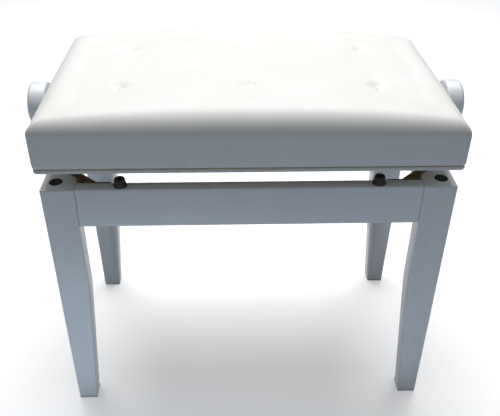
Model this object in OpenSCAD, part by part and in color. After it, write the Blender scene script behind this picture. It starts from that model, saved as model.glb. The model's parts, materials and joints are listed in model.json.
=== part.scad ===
// Height-adjustable bench: four tapered legs joined by aprons, a scissor lift turned
// by a knob at either end, and a padded seat that rises on the scissor.
// The origin is on the floor under the middle. X runs along the bench, the front
// faces -Y and +Z is up. The seat is drawn a little above its lowest position.

/* [Base] */
// Length over the legs
base_l = 550; // [540:1:570]
// Depth over the legs
base_w = 310; // [300:1:320]
// Height of the leg tops
base_h = 400; // [360:1:430]
// Side of a leg at its top
leg_w = 45; // [44:1:47]
// Side of a leg at its foot
foot_w = 29; // [27:1:34]
// Radius of the inner corner of a leg at its top
leg_round = 24; // [23:1:26]
// Height where the taper of a leg ends
taper_h = 230; // [180:5:260]
// Height of the aprons
apron_h = 59; // [56:1:70]

/* [Seat] */
// Length of the seat
seat_l = 554; // [550:1:574]
// Depth of the seat
seat_w = 320; // [312:1:330]
// Gap between the leg tops and the seat
seat_gap = 28; // [22:1:36]
// Rounding of the upper edge of the seat
edge_r = 18; // [12:1:20]
// Rise of the middle of the seat above its edges
crown = 12; // [8:1:14]
// Distance of the outer tufts from the middle
tuft_x = 172; // [150:1:190]
// Distance of the two rows of tufts from the middle
tuft_y = 67; // [50:1:80]

/* [Lift] */
// Length of a scissor arm between its end pivots
arm_l = 400; // [390:1:410]
// Diameter of a knob
knob_d = 65; // [56:1:68]
// Thickness of a knob
knob_t = 25; // [22:1:30]

/* [Hidden] */
$fn = 64;
e = 1;
fit = 0.05; // radial clearance of a pin in its hole
gap = 0.3; // between soft or curved neighbours

// Legs and aprons
glide_t = 3;
leg_axis = leg_w - leg_round; // centre of the round inner corner
leg_outer_r = 3;
apron_in = 1.5; // aprons stand back from the leg faces
apron_t = 18; // front and rear
side_t = 22; // left and right
inner_x = base_l / 2 - leg_w;
inner_y = base_w / 2 - leg_w;
face_x = base_l / 2 - apron_in - side_t; // inner face of a side apron
face_y = base_w / 2 - apron_in - apron_t; // inner face of the front and rear aprons
plug = [17.6, 21.8]; // from the outer faces of the leg
plug_r = 9;
plug_depth = 4;
bumper_x = 171;
bumper_h = 12;

// Corner fittings
plate_t = 2.5;
plate_tab = 22;
plate_h = 50;
plate_low = base_h - plate_h - 0.5;
plate_off = 9; // room between the round of a leg and its plate
plate_diag = 2 * leg_axis + (leg_round + plate_off) * sqrt(2) + gap;
screw_r = 2;
screw_head_r = 4;
screw_head_h = 2.2;
leg_bolt_r = 4;
leg_bolt_z = base_h - 29;
leg_bolt_in = 35;
leg_bolt_out = plate_off + 14;
leg_nut_h = 6.5;
tab_screw_z = [plate_low + 12, plate_low + 38];

// Scissor: a pair of arms in each of two lanes, either side of the spindle
low_z = base_h - 14; // lower pivots
seat_z = base_h + seat_gap; // underside of the seat
axis_z = seat_z + 22; // upper pivots and spindle
angle = asin((axis_z - low_z) / arm_l);
pivot_x = arm_l * cos(angle) / 2;
arm_t = 4;
arm_r = 10;
lane_a = 52;
lane_b = lane_a + arm_t + 1;
rail_y = lane_b + arm_t + 1;
rail_t = 2.5;
rail_flange = 18;
pin_r = 5;
open_r = pin_r + 1.1; // play at the pivot that closes the linkage
eye_play = 3; // half the extra length of an upper eye
roller_r = 7;
clip_r = 8;
clip_t = 1.2;
low_rail_z = low_z - 12;
low_rail_h = 24;
top_rail_z = axis_z - 12;
top_rail_h = 30;
slot_in = 28; // travel of a sliding end toward the middle, and outward
slot_out = 6;
spread_at = 100;
pin_end = rail_y + rail_t + 3;

// Seat box
wall_t = 15;
box_l = seat_l - 5;
box_w = seat_w - 4;
box_z = seat_z + 2;
box_h = 38;
board_t = 9;
board_z = box_z + box_h;
foam_z = board_z + board_t;
seat_top = seat_z + 84;
ridge = 0.3; // the crown cuts this far into the rounding of the long edges
crown_half = seat_w / 2 - edge_r;
crown_r = (crown_half * crown_half + crown * crown) / (2 * crown);
corner_r = 7;
box_r = corner_r - 1; // corners of the wooden box, inside those of the cover
skin = 2;
welt_h = 5;
hem_w = 22;
tie_r = 1.2;
tie_head_r = 9;
tie_top = seat_top - 16;
rail_screw_x = [-215, -75, 75, 215];

// Spindle
rod_r = 6;
knob_r = knob_d / 2;
knob_in = 285; // inner face of a knob
knob_bore = 20;
hub_r = 13;
hub_in = 278;
hub_mid = (hub_in + knob_in) / 2;
bush_r = 9;
collar_r = 11;
end_x = base_l / 2 - 30; // inner face of an upper end plate
end_t = 3;
nut_l = 28;
nut_w = 30;
nut_h = 25;

white = [0.93, 0.93, 0.92];
ivory = [0.95, 0.94, 0.89];
black = [0.06, 0.06, 0.06];
grey = [0.55, 0.56, 0.57];
zinc = [0.78, 0.66, 0.36];
steel = [0.62, 0.63, 0.65];
ply = [0.80, 0.68, 0.50];
foam = [0.94, 0.88, 0.66];

// ---- placing ----

// Draws its children at a corner of the base, growing from the outer corner inward.
module corner(sx, sy) {
  translate([sx * base_l / 2, sy * base_w / 2, 0])
    mirror([sx > 0 ? 1 : 0, 0, 0]) mirror([0, sy > 0 ? 1 : 0, 0]) children();
}

module corners() {
  for (sx = [-1, 1]) for (sy = [-1, 1]) corner(sx, sy) children();
}

// Draws its children at both sides of the middle plane y = 0 or x = 0.
module front_and_rear() {
  children();
  mirror([0, 1, 0]) children();
}

module left_and_right() {
  children();
  mirror([1, 0, 0]) children();
}

// A cylinder along Y from y0 to y1, and one along X from x0 to x1.
module rod_y(x, z, r, y0, y1) {
  translate([x, y1, z]) rotate([90, 0, 0]) cylinder(r = r, h = y1 - y0);
}

module rod_x(y, z, r, x0, x1) {
  translate([x0, y, z]) rotate([0, 90, 0]) cylinder(r = r, h = x1 - x0);
}

module ring_y(x, z, r, bore, y0, y1) {
  difference() {
    rod_y(x, z, r, y0, y1);
    rod_y(x, z, bore, y0 - e, y1 + e);
  }
}

module ring_x(y, z, r, bore, x0, x1) {
  difference() {
    rod_x(y, z, r, x0, x1);
    rod_x(y, z, bore, x0 - e, x1 + e);
  }
}

// A slot through a plate that lies across Y.
module slot_y(x0, x1, z, r, y0, y1) {
  rod_y(x0, z, r, y0, y1);
  rod_y(x1, z, r, y0, y1);
  translate([x0, y0, z - r]) cube([x1 - x0, y1 - y0, 2 * r]);
}

// ---- base ----

module leg_side() {
  polygon([
    [0, glide_t], [foot_w, glide_t], [leg_w, taper_h], [leg_w, base_h], [0, base_h]
  ]);
}

// The bolt runs level along the diagonal of the leg.
module diagonal(r, from, to) {
  translate([leg_axis, leg_axis, leg_bolt_z]) rotate([0, 90, 45])
    translate([0, 0, from]) cylinder(r = r, h = to - from);
}

// Square blank, tapered on its two inner faces, without its inner corner.
module leg_blank() {
  difference() {
    intersection() {
      translate([0, leg_w, 0]) rotate([90, 0, 0]) linear_extrude(leg_w) leg_side();
      rotate([90, 0, 90]) linear_extrude(leg_w) leg_side();
    }
    translate([leg_axis, leg_axis, -e]) cube([leg_w, leg_w, base_h + 2 * e]);
  }
}

// The round inner corner: upright above, a cone with an upright axis below.
module leg_corner() {
  intersection() {
    translate([leg_axis, leg_axis, glide_t])
      cube([leg_round + e, leg_round + e, base_h - glide_t]);
    translate([leg_axis, leg_axis, 0]) union() {
      translate([0, 0, taper_h]) cylinder(r = leg_round, h = base_h - taper_h);
      translate([0, 0, glide_t])
        cylinder(r1 = foot_w - leg_axis, r2 = leg_round, h = taper_h - glide_t);
    }
  }
}

module leg() {
  difference() {
    union() {
      leg_blank();
      leg_corner();
    }
    difference() {
      translate([-e, -e, -e]) cube([leg_outer_r + e, leg_outer_r + e, base_h + 2 * e]);
      translate([leg_outer_r, leg_outer_r, -2 * e])
        cylinder(r = leg_outer_r, h = base_h + 4 * e);
    }
    translate([plug[0], plug[1], base_h - plug_depth])
      cylinder(r = plug_r + fit, h = plug_depth + e);
    translate([foot_w / 2, foot_w / 2, 0]) cylinder(r = 2 + fit, h = 16);
    diagonal(leg_bolt_r + fit, leg_round - leg_bolt_in - fit, leg_round + e);
  }
}

module leg_at(sx, sy) {
  color(white) corner(sx, sy) leg();
}

module foot_glides() {
  color(grey) corners() {
    translate([0.5, 0.5, 0]) cube([foot_w - 1, foot_w - 1, glide_t]);
    translate([foot_w / 2, foot_w / 2, glide_t - 0.5]) cylinder(r = 2, h = 12);
  }
}

module leg_plugs() {
  color(black) corners() translate([plug[0], plug[1], base_h - plug_depth])
    cylinder(r = plug_r, h = plug_depth + 0.6);
}

module apron_holes() {
  corners() plate_screw_shanks(fit);
}

module apron_front() {
  color(white) difference() {
    translate([-inner_x, -face_y - apron_t, base_h - apron_h])
      cube([2 * inner_x, apron_t, apron_h]);
    apron_holes();
  }
}

module apron_rear() {
  color(white) difference() {
    translate([-inner_x, face_y, base_h - apron_h]) cube([2 * inner_x, apron_t, apron_h]);
    apron_holes();
  }
}

module apron_side() {
  difference() {
    translate([-face_x - side_t, -inner_y, base_h - apron_h])
      cube([side_t, 2 * inner_y, apron_h]);
    apron_holes();
    end_screw_shanks(fit);
  }
}

module apron_left() {
  color(white) apron_side();
}

module apron_right() {
  color(white) mirror([1, 0, 0]) apron_side();
}

module bumpers() {
  color(black) left_and_right() front_and_rear()
    translate([bumper_x, face_y + apron_t / 2, base_h])
      rotate_extrude()
        polygon([[0, 0], [8.8, 0], [8.8, 3], [6.8, bumper_h], [0, bumper_h]]);
}

// Bent plate across the inner corner of a leg, with a tab on each apron.
plate_u = apron_in + side_t;
plate_v = apron_in + apron_t;
bend = plate_t * (sqrt(2) - 1);

module corner_plate() {
  difference() {
    translate([0, 0, plate_low]) linear_extrude(plate_h) polygon([
      [plate_diag - plate_v + plate_tab, plate_v],
      [plate_diag - plate_v, plate_v],
      [plate_u, plate_diag - plate_u],
      [plate_u, plate_diag - plate_u + plate_tab],
      [plate_u + plate_t, plate_diag - plate_u + plate_tab],
      [plate_u + plate_t, plate_diag - plate_u + bend],
      [plate_diag - plate_v + bend, plate_v + plate_t],
      [plate_diag - plate_v + plate_tab, plate_v + plate_t]
    ]);
    plate_screw_shanks(fit);
    diagonal(leg_bolt_r + 0.5, leg_round - e, plate_far + plate_t);
  }
}

module corner_plates() {
  color(zinc) corners() corner_plate();
}

// Two screws through each tab, at the middle of its length.
module at_tab_screws() {
  for (z = tab_screw_z) {
    translate([plate_diag - plate_v + plate_tab / 2 + 2, plate_v + plate_t, z])
      rotate([90, 0, 0]) children();
    translate([plate_u + plate_t, plate_diag - plate_u + plate_tab / 2 + 2, z])
      rotate([0, -90, 0]) children();
  }
}

module plate_screw_shanks(more) {
  at_tab_screws() translate([0, 0, -e]) cylinder(r = screw_r + more, h = 14 + e + more);
}

module plate_screws() {
  color(steel) corners() at_tab_screws() {
    cylinder(r = screw_r, h = 14);
    translate([0, 0, -screw_head_h]) cylinder(r = screw_head_r, h = screw_head_h);
  }
}

// The middle of the plate, measured along the diagonal from the round of the leg.
plate_far = leg_round + plate_off + gap / sqrt(2) + plate_t;

module leg_bolts() {
  color(steel) corners() diagonal(leg_bolt_r, leg_round - leg_bolt_in, leg_round + leg_bolt_out);
}

module leg_nuts() {
  color(zinc) corners() difference() {
    union() {
      diagonal(9, plate_far, plate_far + 1.6);
      translate([leg_axis, leg_axis, leg_bolt_z]) rotate([0, 90, 45])
        translate([0, 0, plate_far + 1.6]) cylinder(r = 7.5, h = leg_nut_h, $fn = 6);
    }
    diagonal(leg_bolt_r + fit, plate_far - e, plate_far + leg_nut_h + 3);
  }
}

// ---- lower frame of the scissor ----

module lower_rail() {
  difference() {
    union() {
      translate([-face_x + end_t, -rail_y - rail_t, low_rail_z])
        cube([2 * (face_x - end_t), rail_t, low_rail_h]);
      translate([-face_x + end_t, -rail_y - rail_flange, low_rail_z + low_rail_h - rail_t])
        cube([2 * (face_x - end_t), rail_flange, rail_t]);
    }
    rod_y(-pivot_x, low_z, pin_r + fit, -rail_y - rail_t - e, -rail_y + e);
    slot_y(pivot_x - slot_in, pivot_x + slot_out, low_z, roller_r + 1,
      -rail_y - rail_t - e, -rail_y + e);
  }
}

module lower_rail_front() {
  color(steel) lower_rail();
}

module lower_rail_rear() {
  color(steel) mirror([0, 1, 0]) lower_rail();
}

module lower_end() {
  difference() {
    translate([-face_x, -rail_y - rail_t - 2, low_rail_z])
      cube([end_t, 2 * (rail_y + rail_t + 2), low_rail_h]);
    end_screw_shanks(fit);
  }
}

module lower_end_left() {
  color(steel) lower_end();
}

module lower_end_right() {
  color(steel) mirror([1, 0, 0]) lower_end();
}

module end_screw_shanks(more) {
  for (y = [-40, 40]) for (z = [6, 18])
    rod_x(y, low_rail_z + z, screw_r + more, -face_x - 16 - more, -face_x + end_t + e);
}

module end_screws() {
  color(steel) left_and_right() for (y = [-40, 40]) for (z = [6, 18]) {
    rod_x(y, low_rail_z + z, screw_r, -face_x - 16, -face_x + end_t);
    rod_x(y, low_rail_z + z, screw_head_r, -face_x + end_t, -face_x + end_t + screw_head_h);
  }
}

module lower_shaft() {
  color(steel) rod_y(-pivot_x, low_z, pin_r, -pin_end, pin_end);
}

module lower_spacers() {
  color(steel) front_and_rear()
    ring_y(-pivot_x, low_z, 7.5, pin_r + fit, lane_a + arm_t + 0.2, rail_y - 0.1);
}

module lower_clips() {
  color(black) front_and_rear()
    ring_y(-pivot_x, low_z, clip_r, pin_r + fit, rail_y + rail_t, rail_y + rail_t + clip_t);
}

// ---- seat ----

// End view of the upholstery, shrunk all round by i, without its crown. Its rounded
// edges lie lower than its middle by the given drop.
module end_outline(half, i, drop) {
  r = edge_r - i;
  top = seat_top - seat_z - i;
  low = top - drop - r;
  translate([-half + i, -e]) square([2 * (half - i), low + e]);
  translate([-half + edge_r, -e]) square([2 * (half - edge_r), top + e]);
  translate([-half + edge_r, low]) circle(r = r);
  translate([half - edge_r, low]) circle(r = r);
}

module seat_form(i, z0) {
  intersection() {
    translate([0, 0, z0]) linear_extrude(seat_top - z0 + e)
      rounded(seat_l - 2 * i, seat_w - 2 * i, corner_r - i);
    translate([0, seat_w / 2 + e, seat_z]) rotate([90, 0, 0])
      linear_extrude(seat_w + 2 * e) end_outline(seat_l / 2, i, 0);
    translate([-seat_l / 2 - e, 0, seat_z]) rotate([90, 0, 90])
      linear_extrude(seat_l + 2 * e) end_outline(seat_w / 2, i, crown - ridge);
    rod_x(0, seat_top - i - crown_r, crown_r, -seat_l, seat_l, $fn = 720);
  }
}

module rounded(l, w, r) {
  square([l - 2 * r, w], center = true);
  square([l, w - 2 * r], center = true);
  for (x = [-1, 1]) for (y = [-1, 1])
    translate([x * (l / 2 - r), y * (w / 2 - r)]) circle(r = r);
}

module at_tufts() {
  for (x = [-1, 0, 1]) for (y = [-1, 1]) translate([x * tuft_x, y * tuft_y, 0]) children();
}

module seat_wall_long() {
  difference() {
    translate([0, 0, box_z]) linear_extrude(box_h) intersection() {
      rounded(box_l, box_w, box_r);
      translate([-box_l / 2, -box_w / 2]) square([box_l, wall_t]);
    }
    board_screw_shanks(fit);
  }
}

module seat_wall_front() {
  color(ply) seat_wall_long();
}

module seat_wall_rear() {
  color(ply) mirror([0, 1, 0]) seat_wall_long();
}

module seat_wall_end() {
  difference() {
    translate([-box_l / 2, -box_w / 2 + wall_t, box_z])
      cube([wall_t, box_w - 2 * wall_t, box_h]);
    rod_x(0, axis_z, rod_r + 2, -box_l / 2 - e, -box_l / 2 + wall_t + e);
    board_screw_shanks(fit);
  }
}

module seat_wall_left() {
  color(ply) seat_wall_end();
}

module seat_wall_right() {
  color(ply) mirror([1, 0, 0]) seat_wall_end();
}

module at_board_screws() {
  for (sx = [-1, 1]) for (sy = [-1, 1]) {
    translate([sx * 240, sy * (box_w - wall_t) / 2, foam_z]) children();
    translate([sx * 80, sy * (box_w - wall_t) / 2, foam_z]) children();
    translate([sx * (box_l - wall_t) / 2, sy * 90, foam_z]) children();
  }
}

module board_screw_shanks(more) {
  at_board_screws() {
    translate([0, 0, -30 - more]) cylinder(r = screw_r + more, h = 30 + e);
    translate([0, 0, -2]) cylinder(r = screw_head_r + more, h = 2 + e);
  }
}

module board_screws() {
  color(steel) at_board_screws() {
    translate([0, 0, -30]) cylinder(r = screw_r, h = 29);
    translate([0, 0, -2]) cylinder(r = screw_head_r, h = 1.9);
  }
}

module seat_board() {
  color(ply) difference() {
    translate([0, 0, board_z]) linear_extrude(board_t) rounded(box_l, box_w, box_r);
    board_screw_shanks(fit);
    rail_screw_shanks(fit);
    at_tufts() translate([0, 0, board_z - e]) cylinder(r = tie_r + gap, h = board_t + 2 * e);
  }
}

module seat_foam() {
  color(foam) difference() {
    seat_form(skin + gap, foam_z);
    at_tufts() translate([0, 0, foam_z - e]) cylinder(r = tie_r + gap, h = tie_top - foam_z + 2);
  }
}

module seat_cover() {
  color(ivory) difference() {
    seat_form(0, seat_z + welt_h + 0.2);
    seat_form(skin, seat_z - e);
    left_and_right() rod_x(0, axis_z, hub_r, seat_l / 2 - 2 * skin, seat_l / 2 + e);
  }
}

module seat_welt() {
  color(ivory) translate([0, 0, seat_z]) linear_extrude(welt_h) difference() {
    rounded(seat_l + 1, seat_w + 1, corner_r + 0.5);
    square([box_l + gap, box_w + gap], center = true);
  }
}

module seat_hem() {
  color(ivory) translate([0, 0, seat_z + 0.4]) linear_extrude(1.5) difference() {
    square([box_l - 1, box_w - 1], center = true);
    square([box_l - 2 * hem_w, box_w - 2 * hem_w], center = true);
  }
}

module hem_staples() {
  color(steel) translate([0, 0, seat_z]) {
    front_and_rear() for (n = [-5:5]) if (abs(n) != 3)
      translate([n * 50 - 5, box_w / 2 - 12, 0]) cube([10, 1, 0.4]);
    left_and_right() for (n = [-2:2])
      translate([box_l / 2 - 12, n * 50 - 5, 0]) cube([1, 10, 0.4]);
  }
}

module tuft_ties() {
  color(ivory) at_tufts() {
    translate([0, 0, board_z - 1.5]) cylinder(r = tie_r, h = tie_top - board_z + 1.5);
    translate([0, 0, board_z - 3]) cylinder(r = tie_head_r, h = 3);
  }
}

// ---- upper frame of the scissor ----

module upper_rail() {
  difference() {
    union() {
      translate([-end_x, -rail_y - rail_t, top_rail_z]) cube([2 * end_x, rail_t, top_rail_h]);
      translate([-end_x, -rail_y - rail_flange, top_rail_z + top_rail_h - rail_t])
        cube([2 * end_x, rail_flange, rail_t]);
    }
    rod_y(-pivot_x, axis_z, pin_r + fit, -rail_y - rail_t - e, -rail_y + e);
    slot_y(pivot_x - slot_in, pivot_x + slot_out, axis_z, roller_r + fit,
      -rail_y - rail_t - e, -rail_y + e);
    rail_screw_shanks(fit);
    at_tufts() translate([0, 0, board_z - 5]) cylinder(r = tie_head_r + 1, h = 6);
  }
}

module upper_rail_front() {
  color(steel) upper_rail();
}

module upper_rail_rear() {
  color(steel) mirror([0, 1, 0]) upper_rail();
}

module upper_end() {
  difference() {
    translate([-end_x - end_t, -rail_y - rail_t, top_rail_z])
      cube([end_t, 2 * (rail_y + rail_t), top_rail_h]);
    rod_x(0, axis_z, bush_r + fit, -end_x - end_t - e, -end_x + e);
  }
}

module upper_end_left() {
  color(steel) upper_end();
}

module upper_end_right() {
  color(steel) mirror([1, 0, 0]) upper_end();
}

module at_rail_screws() {
  front_and_rear() for (x = rail_screw_x)
    translate([x, rail_y + rail_flange - 6, board_z - rail_t]) children();
}

module rail_screw_shanks(more) {
  at_rail_screws() translate([0, 0, -e]) cylinder(r = screw_r + more, h = rail_t + 7 + e);
}

module rail_screws() {
  color(steel) at_rail_screws() {
    cylinder(r = screw_r, h = rail_t + 6.5);
    translate([0, 0, -screw_head_h]) cylinder(r = screw_head_r, h = screw_head_h);
  }
}

module spindle_bushes() {
  color(black) left_and_right() {
    ring_x(0, axis_z, bush_r, rod_r + fit, end_x, end_x + end_t + 1);
    ring_x(0, axis_z, bush_r + 3, rod_r + fit, end_x - 2, end_x);
  }
}

module upper_pins() {
  color(steel) front_and_rear() {
    rod_y(-pivot_x, axis_z, pin_r, lane_b - 0.5, pin_end);
    rod_y(-pivot_x, axis_z, clip_r, lane_b - 3.5, lane_b - 0.5);
    ring_y(-pivot_x, axis_z, clip_r, pin_r, rail_y + rail_t, rail_y + rail_t + clip_t);
  }
}

// ---- spindle and knobs ----

module spindle_rod() {
  color(steel) rod_x(0, axis_z, rod_r, -knob_in - knob_bore + 1, knob_in + knob_bore - 1);
}

module spindle_collars() {
  color(steel) left_and_right()
    ring_x(0, axis_z, collar_r, rod_r + fit, end_x + end_t + 1.5, end_x + end_t + 8.5);
}

// Half section of a knob: a hub toward the seat and a wide body with rounded rims.
module knob_half() {
  rim = 6;
  low_rim = 3;
  translate([0, hub_in]) square([hub_r, knob_in - hub_in + e]);
  translate([0, knob_in]) square([knob_r - low_rim, knob_t - rim]);
  translate([0, knob_in + low_rim]) square([knob_r, knob_t - low_rim - rim]);
  translate([0, knob_in + low_rim]) square([knob_r - rim, knob_t - low_rim]);
  translate([knob_r - low_rim, knob_in + low_rim]) circle(r = low_rim);
  translate([knob_r - rim, knob_in + knob_t - rim]) circle(r = rim);
}

module knob() {
  color(white) difference() {
    translate([0, 0, axis_z]) rotate([0, 90, 0]) rotate_extrude() knob_half();
    rod_x(0, axis_z, rod_r + fit, hub_in - e, knob_in + knob_bore);
    translate([hub_mid, 0, axis_z]) cylinder(r = 2 + fit, h = hub_r + e);
  }
}

module knob_right() {
  knob();
}

module knob_left() {
  mirror([1, 0, 0]) knob();
}

module knob_screws() {
  color(black) left_and_right() translate([hub_mid, 0, axis_z + rod_r + 0.2])
    cylinder(r = 2, h = hub_r - rod_r - 1);
}

// ---- nut ----

module spindle_nut() {
  color(zinc) difference() {
    translate([pivot_x - nut_l / 2, -nut_w / 2, axis_z - nut_h / 2])
      cube([nut_l, nut_w, nut_h]);
    rod_x(0, axis_z, rod_r + fit, pivot_x - nut_l, pivot_x + nut_l);
    front_and_rear() rod_y(pivot_x, axis_z, pin_r, nut_w / 2 - 6, nut_w / 2 + e);
  }
}

module nut_trunnions() {
  color(steel) front_and_rear()
    rod_y(pivot_x, axis_z, pin_r, nut_w / 2 - 6, pin_end);
}

module nut_rollers() {
  color(black) front_and_rear()
    ring_y(pivot_x, axis_z, roller_r, pin_r, rail_y - 0.5, rail_y + rail_t + 1);
}

// ---- scissor arms ----

module bar(l) {
  translate([0, -arm_r]) square([l, 2 * arm_r]);
  circle(r = arm_r);
  translate([l, 0]) circle(r = arm_r);
}

// An upper arm rises from its lower pivot; its far eye is a slot with play.
module arm_a(lane) {
  translate([-pivot_x, 0, low_z]) rotate([0, -angle, 0])
    translate([0, lane + arm_t, 0]) rotate([90, 0, 0]) linear_extrude(arm_t) difference() {
      bar(arm_l + 4);
      circle(r = pin_r + fit);
      translate([arm_l / 2, 0]) circle(r = pin_r + fit);
      translate([arm_l - eye_play, 0]) circle(r = open_r);
      translate([arm_l + eye_play, 0]) circle(r = open_r);
      translate([arm_l - eye_play, -open_r]) square([2 * eye_play, 2 * open_r]);
    }
}

// The other arm falls from its upper pivot; its middle hole has play.
module arm_b(lane) {
  translate([-pivot_x, 0, axis_z]) rotate([0, angle, 0])
    translate([0, lane + arm_t, 0]) rotate([90, 0, 0]) linear_extrude(arm_t) difference() {
      bar(arm_l);
      circle(r = pin_r + fit);
      translate([arm_l / 2, 0]) circle(r = open_r);
      translate([arm_l, 0]) circle(r = pin_r + fit);
    }
}

module arm_a_front() {
  color(steel) arm_a(-lane_a - arm_t);
}

module arm_a_rear() {
  color(steel) arm_a(lane_a);
}

module arm_b_front() {
  color(steel) arm_b(-lane_b - arm_t);
}

module arm_b_rear() {
  color(steel) arm_b(lane_b);
}

module arm_spreader() {
  color(steel) translate([-pivot_x, 0, low_z]) rotate([0, -angle, 0])
    rod_y(spread_at, 0, 4, -lane_a, lane_a);
}

mid_z = (low_z + axis_z) / 2;

module centre_pins() {
  color(steel) front_and_rear() {
    rod_y(0, mid_z, pin_r, lane_a - e, lane_b + arm_t + 2);
    rod_y(0, mid_z, clip_r, lane_a - 3, lane_a);
    ring_y(0, mid_z, clip_r, pin_r, lane_b + arm_t + 0.3, lane_b + arm_t + 1.5);
  }
}

module slide_shaft() {
  color(steel) rod_y(pivot_x, low_z, pin_r, -pin_end, pin_end);
}

module slide_rollers() {
  color(black) front_and_rear()
    ring_y(pivot_x, low_z, roller_r, pin_r, rail_y - 0.5, rail_y + rail_t + 1);
}

leg_at(-1, -1);  // leg_front_left
leg_at(1, -1);  // leg_front_right
leg_at(-1, 1);  // leg_rear_left
leg_at(1, 1);  // leg_rear_right
foot_glides();
leg_plugs();
apron_front();
apron_rear();
apron_left();
apron_right();
bumpers();
corner_plates();
plate_screws();
leg_bolts();
leg_nuts();
lower_rail_front();
lower_rail_rear();
lower_end_left();
lower_end_right();
end_screws();
lower_shaft();
lower_spacers();
lower_clips();
seat_wall_front();
seat_wall_rear();
seat_wall_left();
seat_wall_right();
seat_board();
board_screws();
seat_foam();
seat_cover();
seat_welt();
seat_hem();
hem_staples();
tuft_ties();
upper_rail_front();
upper_rail_rear();
upper_end_left();
upper_end_right();
rail_screws();
spindle_bushes();
upper_pins();
spindle_rod();
spindle_collars();
knob_left();
knob_right();
knob_screws();
spindle_nut();
nut_trunnions();
nut_rollers();
arm_a_front();
arm_a_rear();
arm_spreader();
centre_pins();
arm_b_front();
arm_b_rear();
slide_shaft();
slide_rollers();
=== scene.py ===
"""Looks for the height-adjustable bench: painted base, scissor lift, tufted seat."""
import json
import math

import bmesh
import bpy
import numpy as np
from mathutils import Matrix, Vector


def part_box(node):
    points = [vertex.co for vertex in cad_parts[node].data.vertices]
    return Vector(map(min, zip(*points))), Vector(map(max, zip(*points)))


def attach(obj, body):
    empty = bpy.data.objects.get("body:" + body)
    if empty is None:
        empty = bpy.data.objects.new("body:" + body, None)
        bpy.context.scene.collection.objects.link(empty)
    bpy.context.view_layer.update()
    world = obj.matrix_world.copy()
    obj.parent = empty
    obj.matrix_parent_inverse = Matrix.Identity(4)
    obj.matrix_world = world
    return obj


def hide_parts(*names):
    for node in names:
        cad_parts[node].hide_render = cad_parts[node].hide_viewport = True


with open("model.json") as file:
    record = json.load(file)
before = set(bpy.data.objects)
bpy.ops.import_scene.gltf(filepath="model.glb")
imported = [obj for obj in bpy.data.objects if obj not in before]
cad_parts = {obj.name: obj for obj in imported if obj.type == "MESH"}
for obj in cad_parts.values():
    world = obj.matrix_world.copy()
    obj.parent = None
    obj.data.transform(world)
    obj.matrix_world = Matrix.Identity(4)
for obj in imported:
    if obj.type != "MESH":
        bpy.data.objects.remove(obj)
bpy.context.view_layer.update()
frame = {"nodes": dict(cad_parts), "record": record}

MM = 0.001


# ---------------------------------------------------------------- materials

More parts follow.
